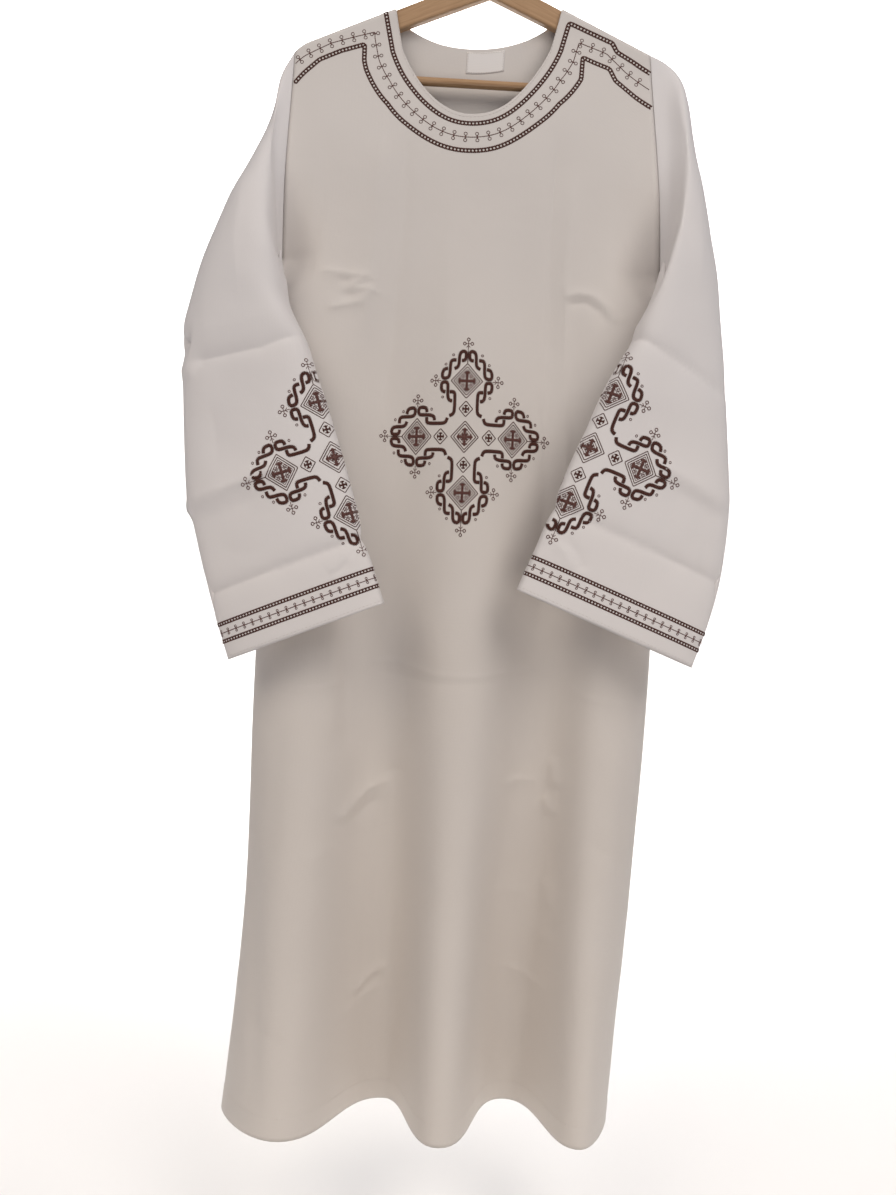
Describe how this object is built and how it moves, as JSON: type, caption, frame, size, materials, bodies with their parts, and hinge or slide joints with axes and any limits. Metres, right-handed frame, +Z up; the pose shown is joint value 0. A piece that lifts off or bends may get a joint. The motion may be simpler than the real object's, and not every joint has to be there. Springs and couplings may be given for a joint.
{
  "type": "deacon tunic on a wooden hanger",
  "caption": "Long white liturgical tunic with wide sleeves, round neck and embroidered crosses and bands, hung on a wooden hanger with a trouser bar and a wire hook.",
  "frame": {"origin": "the seat inside the top of the hanger's hook, where it rests on a rail", "axes": "+Z up; -Y is the garment's front, which the picture shows; +X to the right of that view"},
  "size_m": [0.6778, 0.2125, 1.5138],
  "materials": {
    "cloth": "matt plain weave",
    "label": "smooth woven tape",
    "wood": "lacquered beech",
    "wire": "plated wire"
  },
  "bodies": {
    "root": {"front_panel": "cloth", "back_panel": "cloth", "sleeve_left": "cloth", "sleeve_right": "cloth", "neck_label": "label", "hanger_arms": "wood", "hanger_bar": "wood", "hanger_hook": "wire"}
  },
  "joints": []
}
